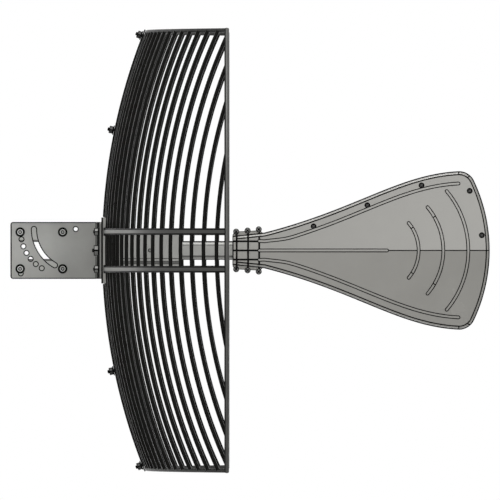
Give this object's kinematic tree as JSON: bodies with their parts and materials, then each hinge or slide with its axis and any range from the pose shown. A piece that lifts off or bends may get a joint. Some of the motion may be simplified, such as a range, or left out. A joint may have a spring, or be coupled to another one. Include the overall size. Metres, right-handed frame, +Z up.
{
  "type": "grid parabolic antenna",
  "caption": "Grid reflector dish in two halves with a flat feed housing on a boom, a tilt bracket and a V-jaw clamp for an upright mast.",
  "frame": {"origin": "on the axis of the upright mast that the clamp grips, midway between the upper and the lower jaws", "axes": "+X along the antenna's look direction, from the mast to the feed; +Z up, along the mast and the grid's bars; +Y to the left of the look direction"},
  "size_m": [0.6519, 0.9824, 0.601],
  "materials": {
    "grid": "dark grey powder coat, satin",
    "bracket": "grey powder coat, satin",
    "clamp": "dark grey coat, satin",
    "steel": "zinc plated",
    "boom": "satin",
    "socket": "matte",
    "feed": "fine moulded grain, matte"
  },
  "bodies": {
    "root": {"grid_half_left": "grid", "grid_half_right": "grid", "joint_channel_upper": "bracket", "joint_channel_lower": "bracket", "splice_plate_upper_inner": "bracket", "splice_plate_upper_outer": "bracket", "splice_plate_lower_inner": "bracket", "splice_plate_lower_outer": "bracket", "splice_bolt_upper_inner": "steel", "splice_bolt_upper_outer": "steel", "splice_bolt_lower_inner": "steel", "splice_bolt_lower_outer": "steel", "back_plate": "bracket", "tilt_bracket": "bracket", "mast_jaw_upper_inner": "clamp", "mast_jaw_upper_outer": "clamp", "mast_jaw_lower_inner": "clamp", "mast_jaw_lower_outer": "clamp", "clamp_bolt_upper_rear": "steel", "clamp_bolt_upper_front": "steel", "clamp_bolt_lower_rear": "steel", "clamp_bolt_lower_front": "steel", "frame_bolt_upper_left": "steel", "frame_bolt_upper_right": "steel", "frame_bolt_lower_left": "steel", "frame_bolt_lower_right": "steel", "socket_bolt": "steel", "boom_socket": "socket", "boom_socket_cap": "socket", "boom_tube": "boom", "boom_pin": "steel", "feed_shell_left": "feed", "feed_shell_right": "feed"}
  },
  "joints": []
}
